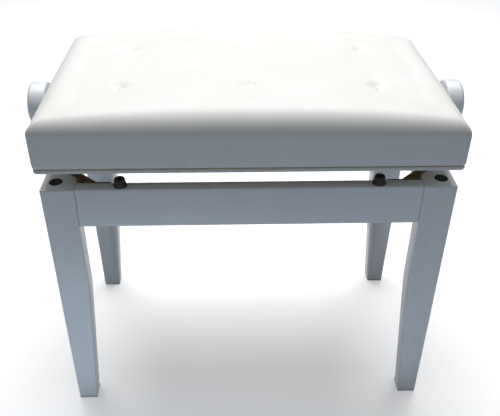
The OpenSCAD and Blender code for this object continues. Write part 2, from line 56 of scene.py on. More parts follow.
class Look:
    """A node material with a Principled shader, and short ways to wire it."""

    def __init__(self, name, color, rough, metal=0.0, **sockets):
        self.mat = bpy.data.materials.new(name)
        self.mat.use_nodes = True
        self.tree = self.mat.node_tree
        self.shader = self.tree.nodes["Principled BSDF"]
        self.shader.inputs["Base Color"].default_value = (*color, 1)
        self.shader.inputs["Roughness"].default_value = rough
        self.shader.inputs["Metallic"].default_value = metal
        for socket, value in sockets.items():
            self.shader.inputs[socket.replace("_", " ")].default_value = value
        self.coord = self.add("ShaderNodeTexCoord").outputs["Object"]
        self.heights = []

    def add(self, kind, **settings):
        node = self.tree.nodes.new(kind)
        for key, value in settings.items():
            setattr(node, key, value)
        return node

    def wire(self, source, target):
        self.tree.links.new(source, target)

    def stretched(self, scale):
        """Object coordinates in metres, multiplied by a scale for each axis."""
        node = self.add("ShaderNodeMapping")
        node.inputs["Scale"].default_value = scale
        self.wire(self.coord, node.inputs["Vector"])
        return node.outputs["Vector"]

    def noise(self, scale, detail=3.0, roughness=0.5, distortion=0.0):
        """Noise with about scale features a metre, or a scale for each axis."""
        axes = (scale,) * 3 if isinstance(scale, (int, float)) else scale
        node = self.add("ShaderNodeTexNoise")
        node.inputs["Scale"].default_value = 1.0
        node.inputs["Detail"].default_value = detail
        node.inputs["Roughness"].default_value = roughness
        node.inputs["Distortion"].default_value = distortion
        self.wire(self.stretched(axes), node.inputs["Vector"])
        return node.outputs["Fac"]

    def cells(self, scale, feature="F1"):
        """Cell pattern with about scale cells a metre."""
        axes = (scale,) * 3 if isinstance(scale, (int, float)) else scale
        node = self.add("ShaderNodeTexVoronoi", feature=feature)
        node.inputs["Scale"].default_value = 1.0
        if feature == "SMOOTH_F1":
            node.inputs["Smoothness"].default_value = 0.4
        self.wire(self.stretched(axes), node.inputs["Vector"])
        return node.outputs["Distance"]

    def bands(self, scale, direction, distortion=0.0):
        """Parallel bands across one direction."""
        node = self.add("ShaderNodeTexWave", wave_type="BANDS", bands_direction=direction)
        node.inputs["Scale"].default_value = scale
        node.inputs["Distortion"].default_value = distortion
        self.wire(self.coord, node.inputs["Vector"])
        return node.outputs["Fac"]

    def ramp(self, source, stops):
        """stops are (position, colour or grey)."""
        node = self.add("ShaderNodeValToRGB")
        elements = node.color_ramp.elements
        while len(elements) < len(stops):
            elements.new(0.5)
        for element, (at, value) in zip(elements, stops):
            element.position = at
            grey = isinstance(value, (int, float))
            element.color = (*((value,) * 3 if grey else value), 1)
        self.wire(source, node.inputs["Fac"])
        return node.outputs["Color"]

    def mixed(self, a, b, factor, blend="MIX"):
        """Blend of two colours or colour sockets."""
        node = self.add("ShaderNodeMix", data_type="RGBA", blend_type=blend)
        for value, name in ((a, "A"), (b, "B")):
            socket = [s for s in node.inputs if s.name == name and s.type == "RGBA"][0]
            if isinstance(value, tuple):
                socket.default_value = (*value, 1)
            else:
                self.wire(value, socket)
        fac = node.inputs[0]
        if isinstance(factor, (int, float)):
            fac.default_value = factor
        else:
            self.wire(factor, fac)
        return [s for s in node.outputs if s.type == "RGBA"][0]

    def color(self, socket):
        self.wire(socket, self.shader.inputs["Base Color"])

    def rough(self, source, low, high):
        self.wire(self.ramp(source, [(0.25, low), (0.75, high)]), self.shader.inputs["Roughness"])

    def bump(self, source, depth, strength):
        """Adds relief of about depth metres."""
        node = self.add("ShaderNodeBump")
        node.inputs["Strength"].default_value = strength
        node.inputs["Distance"].default_value = depth
        self.wire(source, node.inputs["Height"])
        if self.heights:
            self.wire(self.heights[-1], node.inputs["Normal"])
        self.heights.append(node.outputs["Normal"])
        self.wire(node.outputs["Normal"], self.shader.inputs["Normal"])


def paint(name, grain, tone=(0.80, 0.815, 0.82)):
    """White lacquer over wood; the grain runs along one axis."""
    m = Look(name, tone, 0.36, Coat_Weight=0.15, Coat_Roughness=0.25)
    along = [60.0, 60.0, 60.0]
    along["XYZ".index(grain)] = 4.0
    fibres = m.noise(tuple(3.5 * a for a in along), 5, 0.6)
    cloud = m.noise(9, 2)
    dusty = tuple(0.965 * c for c in tone)
    m.color(m.mixed(m.ramp(cloud, [(0.3, tone), (0.75, dusty)]), m.ramp(
        fibres, [(0.42, (0.93, 0.93, 0.92)), (0.55, (1, 1, 1))]), 0.35, "MULTIPLY"))
    m.rough(m.noise(35, 3), 0.31, 0.43)
    m.bump(fibres, 0.00005, 0.5)
    m.bump(m.noise(620, 2), 0.000035, 0.4)
    return m.mat


def leather(name, tone, shade, grain=820.0):
    """Fine-grained coated fabric."""
    m = Look(name, tone, 0.46, Sheen_Weight=0.06, Sheen_Roughness=0.5)
    m.shader.inputs["Specular IOR Level"].default_value = 0.42
    pebbles = m.cells(grain, "SMOOTH_F1")
    creases = m.cells(grain * 0.43, "DISTANCE_TO_EDGE")
    cloud = m.noise(14, 4, 0.55)
    base = m.ramp(cloud, [(0.28, shade), (0.62, tone)])
    m.color(m.mixed(base, m.ramp(creases, [(0.0, (0.90, 0.89, 0.86)), (0.09, (1, 1, 1))]), 0.5,
                    "MULTIPLY"))
    m.rough(m.noise(60, 3), 0.40, 0.54)
    m.bump(cloud, 0.0006, 0.25)
    m.bump(creases, 0.00008, 0.45)
    m.bump(pebbles, 0.00012, 0.55)
    return m.mat


def rubber(name, tone, rough=0.7):
    m = Look(name, tone, rough)
    grit = m.noise(1500, 2)
    dust = m.noise(90, 4, 0.6)
    m.color(m.ramp(dust, [(0.4, tone), (0.8, tuple(1.9 * c + 0.01 for c in tone))]))
    m.rough(dust, rough - 0.1, rough + 0.12)
    m.bump(grit, 0.00006, 0.5)
    return m.mat


def powder(name, tone):
    """Powder-coated sheet steel, slightly orange-peeled and scuffed."""
    m = Look(name, tone, 0.48, Coat_Weight=0.1, Coat_Roughness=0.4)
    peel = m.noise(900, 2)
    scuff = m.noise((25, 160, 160), 6, 0.7)
    m.color(m.ramp(scuff, [(0.55, tone), (0.78, tuple(c * 1.8 + 0.01 for c in tone))]))
    m.rough(m.noise(120, 3), 0.40, 0.58)
    m.bump(peel, 0.00007, 0.5)
    return m.mat


def steel(name, tone, lines="X", rough=0.3):
    """Bright zinc-plated or turned steel with fine lines across one axis."""
    m = Look(name, tone, rough, 1.0)
    scale = [40.0, 40.0, 40.0]
    scale["XYZ".index(lines)] = 2200.0
    turned = m.noise(tuple(scale), 2)
    stain = m.noise(45, 5, 0.6)
    m.color(m.mixed(m.ramp(stain, [(0.3, tone), (0.8, tuple(0.72 * c for c in tone))]),
                    m.ramp(turned, [(0.3, (0.86, 0.86, 0.87)), (0.7, (1, 1, 1))]), 0.5, "MULTIPLY"))
    m.rough(stain, rough - 0.06, rough + 0.16)
    m.bump(turned, 0.00002, 0.4)
    return m.mat


def yellow_zinc(name):
    """Passivated zinc: gold with faint pink and green drifts."""
    m = Look(name, (0.60, 0.50, 0.27), 0.34, 1.0)
    drift = m.noise(55, 4, 0.6, 0.6)
    spots = m.noise(380, 3)
    tint = m.ramp(drift, [(0.28, (0.54, 0.50, 0.27)), (0.48, (0.66, 0.54, 0.28)),
                          (0.66, (0.62, 0.46, 0.30)), (0.85, (0.50, 0.52, 0.34))])
    m.color(m.mixed(tint, m.ramp(spots, [(0.3, (0.82, 0.8, 0.76)), (0.6, (1, 1, 1))]), 0.6,
                    "MULTIPLY"))
    m.rough(drift, 0.26, 0.46)
    m.bump(spots, 0.00003, 0.4)
    return m.mat


def plywood(name):
    """Raw birch plywood: face grain along X and plies stacked in Z."""
    m = Look(name, (0.62, 0.45, 0.27), 0.62)
    grain = m.noise((5, 130, 130), 6, 0.65, 0.8)
    plies = m.bands(210, "Z", 0.6)
    figure = m.noise((3, 22, 22), 3, 0.5, 1.2)
    face = m.ramp(grain, [(0.3, (0.47, 0.32, 0.18)), (0.5, (0.62, 0.46, 0.28)),
                          (0.72, (0.70, 0.55, 0.36))])
    face = m.mixed(face, m.ramp(figure, [(0.3, (0.84, 0.80, 0.74)), (0.7, (1, 1, 1))]), 0.7,
                   "MULTIPLY")
    m.color(m.mixed(face, m.ramp(plies, [(0.35, (0.80, 0.74, 0.66)), (0.65, (1, 1, 1))]), 0.35,
                    "MULTIPLY"))
    m.rough(grain, 0.55, 0.72)
    m.bump(grain, 0.00012, 0.6)
    return m.mat


def foam_look(name):
    m = Look(name, (0.78, 0.70, 0.42), 0.9)
    pores = m.cells(700)
    m.color(m.ramp(pores, [(0.1, (0.55, 0.47, 0.25)), (0.6, (0.80, 0.72, 0.45))]))
    m.bump(pores, 0.0005, 0.8)
    return m.mat


def thread(name, tone):
    m = Look(name, tone, 0.6, Sheen_Weight=0.2)
    twist = m.bands(900, "DIAGONAL")
    m.color(m.ramp(twist, [(0.2, tuple(0.8 * c for c in tone)), (0.7, tone)]))
    m.bump(twist, 0.0002, 0.6)
    return m.mat


def backing(name, tone):
    """Woven backing cloth of the cover."""
    m = Look(name, tone, 0.85, Sheen_Weight=0.15)
    warp, weft = m.bands(420, "X"), m.bands(420, "Y")
    weave = m.mixed(warp, weft, 0.5)
    fuzz = m.noise(300, 4)
    m.color(m.mixed(m.ramp(weave, [(0.3, tuple(0.75 * c for c in tone)), (0.7, tone)]),
                    m.ramp(fuzz, [(0.3, (0.86, 0.86, 0.84)), (0.7, (1, 1, 1))]), 0.6, "MULTIPLY"))
    m.bump(weave, 0.0002, 0.6)
    return m.mat


LOOKS = {
    "white_legs": paint("white_lacquer_upright", "Z"),
    "white_long": paint("white_lacquer_long", "X"),
    "white_side": paint("white_lacquer_side", "Y"),
    "knob_paint": paint("knob_lacquer", "X", (0.80, 0.83, 0.86)),
    "ivory_leather": leather("ivory_leather", (0.855, 0.852, 0.825), (0.83, 0.825, 0.79)),
    "ivory_welt": leather("ivory_welt", (0.80, 0.80, 0.755), (0.74, 0.735, 0.69), 1300.0),
    "leather_hem": backing("hem_backing", (0.70, 0.68, 0.62)),
    "tuft_thread": thread("tuft_thread", (0.78, 0.76, 0.68)),
    "plywood": plywood("plywood"),
    "foam": foam_look("foam"),
    "black_rubber": rubber("black_rubber", (0.012, 0.012, 0.013)),
    "black_plastic": rubber("black_plastic", (0.018, 0.018, 0.019), 0.45),
    "grey_plastic": rubber("grey_plastic", (0.34, 0.35, 0.37), 0.5),
    "frame_steel": powder("frame_powder_coat", (0.020, 0.020, 0.022)),
    "arm_steel": powder("arm_powder_coat", (0.026, 0.026, 0.028)),
    "bright_steel": steel("bright_steel", (0.58, 0.59, 0.61), "Y"),
    "spindle_steel": steel("spindle_steel", (0.46, 0.47, 0.49), "X", 0.34),
    "bright_screws": steel("screw_steel", (0.62, 0.63, 0.65), "Z", 0.3),
    "staple_wire": steel("staple_wire", (0.60, 0.60, 0.62), "X", 0.35),
    "black_steel": powder("black_oxide", (0.015, 0.015, 0.016)),
    "yellow_zinc": yellow_zinc("yellow_zinc"),
}

for row in frame["record"]["subparts"]:
    material = LOOKS.get(row["material_slot"], LOOKS["white_legs"])
    for cad_slot in frame["nodes"][row["node"]].material_slots:
        cad_slot.material = material


# ---------------------------------------------------------------- pieces

def piece(name, mesh, look, body, slot, *nodes, smooth=40.0):
    """Links a mesh as a piece of a body that stands for CAD nodes."""
    mesh.materials.append(LOOKS[look])
    obj = bpy.data.objects.new(name, mesh)
    bpy.context.scene.collection.objects.link(obj)
    mesh.shade_smooth()
    if smooth:
        mesh.set_sharp_from_angle(angle=math.radians(smooth))
    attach(obj, body)
    if nodes:
        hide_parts(*nodes)
    return obj


def mesh_of(bm, name):
    bmesh.ops.recalc_face_normals(bm, faces=bm.faces)
    mesh = bpy.data.meshes.new(name)
    bm.to_mesh(mesh)
    bm.free()
    return mesh


def loft(bm, rings):
    """Skins a list of rings of points, each closed, with end caps."""
    rows = [[bm.verts.new(p) for p in ring] for ring in rings]
    for low, high in zip(rows, rows[1:]):
        for a in range(len(low)):
            b = (a + 1) % len(low)
            bm.faces.new((low[a], low[b], high[b], high[a]))
    bm.faces.new(rows[0][::-1])
    bm.faces.new(rows[-1])


def arc(cx, cy, r, start, count):
    """Points of a quarter circle from an angle in degrees, anticlockwise."""
    return [(cx + r * math.cos(math.radians(start + 90 * k / count)),
             cy + r * math.sin(math.radians(start + 90 * k / count))) for k in range(count + 1)]


def rounded_ring(x0, y0, x1, y1, radii, counts):
    """Anticlockwise outline of a rectangle; radii and steps of its corners from (x0, y0)."""
    a, b, c, d = radii
    return (arc(x0 + a, y0 + a, a, 180, counts[0]) + arc(x1 - b, y0 + b, b, 270, counts[1])
            + arc(x1 - c, y1 - c, c, 0, counts[2]) + arc(x0 + d, y1 - d, d, 90, counts[3]))


def bevelled_box(bm, low, high, r, segments):
    """Box between two points with rounded edges."""
    made = bmesh.ops.create_cube(bm, size=1.0)["verts"]
    low, high = Vector(low), Vector(high)
    for v in made:
        v.co = Vector([(h + l) / 2 + c * (h - l) for c, l, h in zip(v.co, low, high)])
    edges = {e for v in made for e in v.link_edges}
    bmesh.ops.bevel(bm, geom=list(edges), offset=r, segments=segments, affect="EDGES", profile=0.5)


def lathe(bm, profile, place, segments=64):
    """Turns (radius, height) points about local Z and moves them by a matrix."""
    rows = []
    for r, z in profile:
        if r < 1e-7:
            rows.append([bm.verts.new(place @ Vector((0, 0, z)))])
        else:
            rows.append([bm.verts.new(place @ Vector((
                r * math.cos(2 * math.pi * k / segments),
                r * math.sin(2 * math.pi * k / segments), z))) for k in range(segments)])
    for low, high in zip(rows, rows[1:]):
        for a in range(segments):
            b = (a + 1) % segments
            corners = []
            for v in (low[a % len(low)], low[b % len(low)], high[b % len(high)],
                      high[a % len(high)]):
                if v not in corners:
                    corners.append(v)
            if len(corners) > 2:
                bm.faces.new(corners)


# ---------------------------------------------------------------- base

LEG_W, FOOT_W, TAPER_Z, LEG_ROUND = 45 * MM, 29 * MM, 230 * MM, 24 * MM
LEG_EDGE = 2.6 * MM
TOP_EDGE = 1.8 * MM
APRON_EDGE = 1.6 * MM
PAD_EDGE = 0.9 * MM
TAPER_LEVELS = 14

LEGS = {"leg_front_left": (-1, -1), "leg_front_right": (1, -1),
        "leg_rear_left": (-1, 1), "leg_rear_right": (1, 1)}


def leg_outline(side, round_r, inset, z):
    """Section of a leg with its outer corner at the origin."""
    r = max(LEG_EDGE - inset, 0.4 * MM)
    big = max(round_r - inset, r)
    return [(x, y, z) for x, y in rounded_ring(
        inset, inset, side - inset, side - inset, (r * 1.15, r, big, r), (5, 5, 14, 5))]


def leg_mesh(node):
    """Leg with eased edges, lofted upward in the frame of its outer corner."""
    low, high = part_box(node)
    z0, z1 = low.z, high.z
    rings = []
    for inset, rise in ((1.6, 0), (0.5, 0.5), (0, 1.6)):
        rings.append(leg_outline(FOOT_W, FOOT_W - (LEG_W - LEG_ROUND), inset * MM, z0 + rise * MM))
    for k in range(1, TAPER_LEVELS + 1):
        t = k / TAPER_LEVELS
        side = FOOT_W + (LEG_W - FOOT_W) * t
        rings.append(leg_outline(side, side - (LEG_W - LEG_ROUND), 0, z0 + (TAPER_Z - z0) * t))
    rings.append(leg_outline(LEG_W, LEG_ROUND, 0, TAPER_Z + 20 * MM))
    for step in range(6):
        a = math.radians(90 * step / 5)
        rings.append(leg_outline(LEG_W, LEG_ROUND, TOP_EDGE * (1 - math.cos(a)),
                                 z1 - TOP_EDGE + TOP_EDGE * math.sin(a)))
    bm = bmesh.new()
    loft(bm, rings)
    sx, sy = LEGS[node]
    corner = Vector((low.x if sx < 0 else high.x, low.y if sy < 0 else high.y, 0))
    for v in bm.verts:
        v.co = Vector((corner.x - sx * v.co.x, corner.y - sy * v.co.y, v.co.z))
    return mesh_of(bm, node)


for leg in LEGS:
    piece(leg + "_look", leg_mesh(leg), "white_legs", "base", "white_paint", leg, smooth=30)

for apron, look in (("apron_front", "white_long"), ("apron_rear", "white_long"),
                    ("apron_left", "white_side"), ("apron_right", "white_side")):
    low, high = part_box(apron)
    bm = bmesh.new()
    bevelled_box(bm, low, high, APRON_EDGE, 4)
    piece(apron + "_look", mesh_of(bm, apron), look, "base", "white_paint", apron, smooth=30)


def split_boxes(node, key):
    """Boxes of a grouped node's separate solids, keyed by a rounded place."""
    mesh = frame["nodes"][node].data
    groups = {}
    for v in mesh.vertices:
        groups.setdefault(key(v.co), []).append(v.co)
    return [(Vector([min(c[i] for c in g) for i in range(3)]),
             Vector([max(c[i] for c in g) for i in range(3)])) for g in groups.values()]


def quadrant(co):
    """Which corner of the bench a point belongs to."""
    return co.x > 0, co.y > 0


bm = bmesh.new()
for low, high in split_boxes("bumpers", quadrant):
    r, h = (high.x - low.x) / 2, high.z - low.z
    middle = Vector(((low.x + high.x) / 2, (low.y + high.y) / 2, low.z))
    profile = [(0, 0), (0.93 * r, 0), (0.985 * r, 0.03 * h), (r, 0.10 * h), (r, 0.20 * h),
               (0.975 * r, 0.27 * h), (0.93 * r, 0.34 * h), (0.865 * r, 0.60 * h),
               (0.80 * r, 0.86 * h), (0.77 * r, 0.95 * h), (0.71 * r, 0.99 * h), (0.62 * r, h),
               (0.34 * r, h), (0.28 * r, 0.97 * h), (0.24 * r, 0.72 * h), (0, 0.70 * h)]
    lathe(bm, profile, Matrix.Translation(middle), 48)
piece("bumper_set", mesh_of(bm, "bumper_set"), "black_rubber", "base", "black_rubber", "bumpers",
      smooth=50)

bm = bmesh.new()
for low, high in split_boxes("leg_plugs", quadrant):
    r, h = (high.x - low.x) / 2, high.z - low.z
    middle = Vector(((low.x + high.x) / 2, (low.y + high.y) / 2, low.z))
    profile = [(0, 0), (r, 0), (r, h - 0.5 * MM), (0.985 * r, h - 0.15 * MM), (0.95 * r, h),
               (0.75 * r, h), (0.70 * r, h - 0.25 * MM), (0, h - 0.3 * MM)]
    lathe(bm, profile, Matrix.Translation(middle), 48)
piece("leg_cap_set", mesh_of(bm, "leg_cap_set"), "black_rubber", "base", "black_rubber",
      "leg_plugs", smooth=50)

bm = bmesh.new()
leg_foot_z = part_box("leg_front_left")[0].z
for low, high in split_boxes("foot_glides", quadrant):
    bevelled_box(bm, low, (high.x, high.y, leg_foot_z), PAD_EDGE, 3)
piece("foot_pad_set", mesh_of(bm, "foot_pad_set"), "grey_plastic", "base", "grey_plastic",
      "foot_glides", smooth=50)


# ---------------------------------------------------------------- knobs and spindle

KNOB_RIM, KNOB_LIP, HUB_R, HUB_RISE = 6 * MM, 3 * MM, 13 * MM, 7 * MM


def knob_profile(r, hub_r, hub_z, inner, outer):
    """Half section, from the hub to the middle of the outer face."""
    p = [(6.1 * MM, hub_z), (hub_r - 1 * MM, hub_z), (hub_r, hub_z + 1 * MM),
         (hub_r, inner - 1.5 * MM), (hub_r + 1.5 * MM, inner)]
    p += [(r - KNOB_LIP - 2 * MM, inner)]
    for k in range(7):
        a = math.radians(-90 + 90 * k / 6)
        p.append((r - KNOB_LIP + KNOB_LIP * math.cos(a), inner + KNOB_LIP + KNOB_LIP * math.sin(a)))
    for k in range(11):
        a = math.radians(90 * k / 10)
        p.append((r - KNOB_RIM + KNOB_RIM * math.cos(a),
                  outer - KNOB_RIM + KNOB_RIM * math.sin(a)))
    p += [(r - KNOB_RIM - 3 * MM, outer - 0.1 * MM), (0.45 * r, outer - 0.9 * MM),
          (0.2 * r, outer - 1.1 * MM), (0, outer - 1.15 * MM)]
    return p


rod_low, rod_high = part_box("spindle_rod")
AXIS_Z = (rod_low.z + rod_high.z) / 2
for node, side in (("knob_left", -1), ("knob_right", 1)):
    low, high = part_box(node)
    radius = (high.y - low.y) / 2
    outer = high.x if side > 0 else -low.x
    hub = low.x if side > 0 else -high.x
    place = Matrix.Translation((0, 0, AXIS_Z)) @ Matrix.Rotation(side * math.pi / 2, 4, "Y")
    bm = bmesh.new()
    lathe(bm, knob_profile(radius, HUB_R, hub, hub + HUB_RISE, outer), place, 96)
    piece(node + "_look", mesh_of(bm, node), "knob_paint", "spindle", "knob_paint", node,
          smooth=35)

PITCH, CREST, ROOT = 3 * MM, 6 * MM, 5.1 * MM
THREAD_FROM, THREAD_TO = 142 * MM, 240 * MM
ROD_CHAMFER = 0.8 * MM
AROUND_ROD, STEPS_PER_PITCH = 36, 10


def thread_radius(x, turn):
    """Trapezoidal thread, faded at both ends."""
    if not THREAD_FROM < x < THREAD_TO:
        return CREST
    phase = (x / PITCH - turn) % 1.0
    wave = min(max(2.4 * abs(phase - 0.5) - 0.1, 0.0), 1.0)
    fade = min((x - THREAD_FROM) / PITCH, (THREAD_TO - x) / PITCH, 1.0)
    return CREST - (CREST - ROOT) * wave * fade


sections = [rod_low.x, rod_low.x + ROD_CHAMFER, 0.0, THREAD_FROM]
sections += [THREAD_FROM + PITCH * k / STEPS_PER_PITCH
             for k in range(1, int((THREAD_TO - THREAD_FROM) / PITCH * STEPS_PER_PITCH) + 1)]
sections += [THREAD_TO + 0.1 * MM, rod_high.x - ROD_CHAMFER, rod_high.x]
rings = []
for n, x in enumerate(sections):
    end = ROD_CHAMFER if n in (0, len(sections) - 1) else 0
    ring = []
    for k in range(AROUND_ROD):
        a = 2 * math.pi * k / AROUND_ROD
        r = thread_radius(x, k / AROUND_ROD) - end
        ring.append((x, r * math.cos(a), AXIS_Z + r * math.sin(a)))
    rings.append(ring)
bm = bmesh.new()
loft(bm, rings)
piece("threaded_spindle", mesh_of(bm, "threaded_spindle"), "spindle_steel", "spindle",
      "spindle_steel", "spindle_rod", smooth=50)


# ---------------------------------------------------------------- cushion

cover_low, cover_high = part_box("seat_cover")
foam_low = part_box("seat_foam")[0]
TUFT_X, TUFT_Y = 172 * MM, 67 * MM
TUFTS = [(x * TUFT_X, y * TUFT_Y) for y in (-1, 1) for x in (-1, 0, 1)]
CELL, ROLL_STEPS, SIDE_ROWS = 5 * MM, 8, 9
CROWN_TOP = cover_high.z + 2.5 * MM
SIDE_ROLL = np.array((30, 30)) * MM              # left, right: radius of the rolled top edge
LONG_ROLL = np.array((29, 27)) * MM              # front, rear
CORNER_ROLL = np.array(((9, 9), (20, 15))) * MM
CORNER_POWER = (8, 4)                            # front, rear: squareness of the corners
END_DROP, SETTLED = 8.5 * MM, 8 * MM             # fall of the top to its ends, and rear right
LONG_DROP = np.array((6.5, 2)) * MM              # front, rear
CORNER_DROP = np.array(((8, 13), (6.5, 7.5))) * MM
END_SWELL, LONG_SWELL = np.array((1, -1)) * MM, 3 * MM
TUFT_DEPTH, TUFT_WIDTH = 8.0 * MM, 10.5 * MM
GRID_ROLL = 25 * MM                              # edge left out when the flat part is divided
ROLL_SHARE = (0.090, 0.156)                      # the roll's part of the half length and width
CORNER_BLEND, FALL_POWER, SWELL_POWER = 3, 2.6, 2.2
SWELL_FADE = 1.5                                 # how fast the swell dies down a side
TUCK_FROM, TUCK = 0.86, 1.3 * MM                 # share of the height where the tuck starts
NEAR_SIDE = 4 * MM
COVER_T, FOAM_INSET, FOAM_BELOW = 1.6 * MM, 3.5 * MM, 6.5 * MM
HELD_FROM, HELD_TO = 34 * MM, 62 * MM            # from the edge: fully held, free
TUFT_HOLD = 7 * MM
SWELL_CAP, START_LOWER = 5 * MM, 3 * MM
LAST_FRAME = 20


def stations(half, roll):
    """Grid lines across a side: sign or fraction of the flat part, and angle on the roll."""
    count = round((half - roll) / CELL)
    steps = range(1, ROLL_STEPS + 1)
    return np.array([(-1, k / ROLL_STEPS) for k in reversed(steps)]
                    + [(k / count, 0) for k in range(-count, count + 1)]
                    + [(1, k / ROLL_STEPS) for k in steps])


def crowned_top(half_l, half_w, top):
    """Grid of points of a crowned pad's top, down to where its edge has rolled upright."""
    xs, ys = stations(half_l, GRID_ROLL), stations(half_w, GRID_ROLL)
    i, j = np.meshgrid(range(len(xs)), range(len(ys)), indexing="ij")
    sx, a = xs[i, 0], xs[i, 1]
    sy, b = ys[j, 0], ys[j, 1]
    u = sx * (1 - ROLL_SHARE[0] * (1 - np.sin(a * math.pi / 2)))
    v = sy * (1 - ROLL_SHARE[1] * (1 - np.sin(b * math.pi / 2)))
    right, rear = (sx > 0).astype(int), (sy > 0).astype(int)
    corner = CORNER_ROLL[rear, right]
    roll_x = SIDE_ROLL[right] + (corner - SIDE_ROLL[right]) * np.abs(v) ** CORNER_BLEND
    roll_y = LONG_ROLL[rear] + (corner - LONG_ROLL[rear]) * np.abs(u) ** CORNER_BLEND
    turn = np.maximum(a, b)
    power = np.where(rear, CORNER_POWER[1], CORNER_POWER[0])
    spread = np.sin(turn * math.pi / 2) / np.maximum((a ** power + b ** power) ** (1 / power), 1e-9)
    x = sx * (half_l - roll_x) + np.sign(sx) * roll_x * spread * a
    y = sy * (half_w - roll_y) + np.sign(sy) * roll_y * spread * b
    share = np.where(a + b > 0, a / np.maximum(a + b, 1e-9), 0.5)
    roll = roll_x * share + roll_y * (1 - share)
    ends, longs = np.abs(u) ** FALL_POWER, np.abs(v) ** FALL_POWER
    height = (top - END_DROP * ends - LONG_DROP[rear] * longs
              - CORNER_DROP[rear, right] * ends * longs
              - SETTLED * np.clip(u, 0, 1) ** 2 * (1 + v) / 2)
    z = height - roll * (1 - np.cos(turn * math.pi / 2))
    for tx, ty in TUFTS:
        z = z - TUFT_DEPTH * np.exp(-((x - tx) ** 2 + (y - ty) ** 2) / TUFT_WIDTH ** 2)
    end_swell = END_SWELL[right] * (1 - np.abs(v) ** SWELL_POWER)
    long_swell = LONG_SWELL * (1 - np.abs(u) ** SWELL_POWER)
    x = x + np.sign(sx) * end_swell * np.sin(a * math.pi / 2)
    y = y + np.sign(sy) * long_swell * np.sin(b * math.pi / 2)
    return np.stack([x, y, z], -1)


def padded_form(half_l, half_w, top, bottom, tuck=0.0, closed=False):
    """Crowned top with four sides down to the bottom, tucked in there or closed."""
    top_grid = crowned_top(half_l, half_w, top)
    n, m = top_grid.shape[0] - 1, top_grid.shape[1] - 1
    bm = bmesh.new()
    grid = {(i, j): bm.verts.new(top_grid[i, j]) for i in range(n + 1) for j in range(m + 1)}
    for i in range(n):
        for j in range(m):
            bm.faces.new((grid[i, j], grid[i + 1, j], grid[i + 1, j + 1], grid[i, j + 1]))
    rim = ([(i, 0) for i in range(n)] + [(n, j) for j in range(m)]
           + [(i, m) for i in range(n, 0, -1)] + [(0, j) for j in range(m, 0, -1)])
    above = [grid[k] for k in rim]
    starts = [v.co.copy() for v in above]
    for row in range(1, SIDE_ROWS + 1):
        t = row / SIDE_ROWS
        below = []
        for start in starts:
            x, y = start.x, start.y
            flat_x, flat_y = min(abs(x), half_l), min(abs(y), half_w)
            ease = (1 - t) ** SWELL_FADE
            pull = tuck * max(0.0, (t - TUCK_FROM) / (1 - TUCK_FROM)) ** 2
            pull_x, pull_y = pull * (flat_x > half_l - NEAR_SIDE), pull * (flat_y > half_w - NEAR_SIDE)
            x = math.copysign(flat_x + (abs(x) - flat_x) * ease - pull_x, x)
            y = math.copysign(flat_y + (abs(y) - flat_y) * ease - pull_y, y)
            below.append(bm.verts.new((x, y, start.z + (bottom - start.z) * t)))
        for a in range(len(rim)):
            b = (a + 1) % len(rim)
            bm.faces.new((above[a], below[a], below[b], above[b]))
        above = below
    if closed:
        bm.faces.new(above[::-1])
        for v in bm.verts:
            v.co.z = max(v.co.z, bottom)
        bmesh.ops.remove_doubles(bm, verts=bm.verts, dist=0.05 * MM)
    return bm


def held_at_edges(points):
    """1 at the rolled edge and the sides, falling to 0 over the top."""
    to_edge = np.minimum(cover_high.x - np.abs(points[:, 0]), cover_high.y - np.abs(points[:, 1]))
    t = np.clip((HELD_TO - to_edge) / (HELD_TO - HELD_FROM), 0, 1)
    return t * t * (3 - 2 * t)


def simulate(obj, start):
    """Inflates the skin as cloth held at its edges and tufts, then caps the travel."""
    pins = held_at_edges(start)
    for tx, ty in TUFTS:
        near = np.hypot(start[:, 0] - tx, start[:, 1] - ty)
        pins = np.maximum(pins, np.clip(1.8 - near / TUFT_HOLD, 0, 1))
    group = obj.vertex_groups.new(name="held")
    for index in np.nonzero(pins > 0.001)[0]:
        group.add([int(index)], float(pins[index]), "REPLACE")
    cloth = obj.modifiers.new("cloth", "CLOTH")
    s = cloth.settings
    s.quality = 6
    s.mass = 0.25
    s.tension_stiffness = s.compression_stiffness = 22
    s.shear_stiffness = 14
    s.bending_stiffness = 2.5
    s.air_damping = 3
    s.use_pressure = True
    s.uniform_pressure_force = 4.5
    s.vertex_group_mass = "held"
    s.effector_weights.gravity = 0
    cloth.collision_settings.use_collision = False
    cloth.point_cache.frame_start, cloth.point_cache.frame_end = 1, LAST_FRAME
    scene = bpy.context.scene
    for f in range(1, LAST_FRAME + 1):
        scene.frame_set(f)
    settled = obj.evaluated_get(bpy.context.evaluated_depsgraph_get())
    end = np.empty_like(start.ravel())
    settled.to_mesh().vertices.foreach_get("co", end)
    settled.to_mesh_clear()
    obj.modifiers.remove(cloth)
    scene.frame_set(1)
    move = end.reshape(-1, 3) - start
    far = np.linalg.norm(move, axis=1, keepdims=True)
    return move * np.minimum(1, SWELL_CAP / np.maximum(far, 1e-9))


def inflate(obj):
    """Moves the skin from its slack start to its padded shape."""
    start = np.empty(len(obj.data.vertices) * 3)
    obj.data.vertices.foreach_get("co", start)
    start = start.reshape(-1, 3)
    slack = start.copy()
    slack[:, 2] -= START_LOWER * (1 - held_at_edges(start))
    obj.data.vertices.foreach_set("co", slack.ravel())
    end = slack + simulate(obj, slack)
    obj.data.vertices.foreach_set("co", end.ravel())
    obj.data.update()


cushion = piece("seat_cushion", mesh_of(padded_form(
    cover_high.x, cover_high.y, CROWN_TOP, cover_low.z, tuck=TUCK), "cushion"),
    "ivory_leather", "seat", "ivory_leather", "seat_cover", smooth=0)
inflate(cushion)
skin = cushion.modifiers.new("skin", "SOLIDIFY")
skin.thickness, skin.offset = COVER_T, -1
refine = cushion.modifiers.new("refine", "SUBSURF")
refine.levels = refine.render_levels = 1

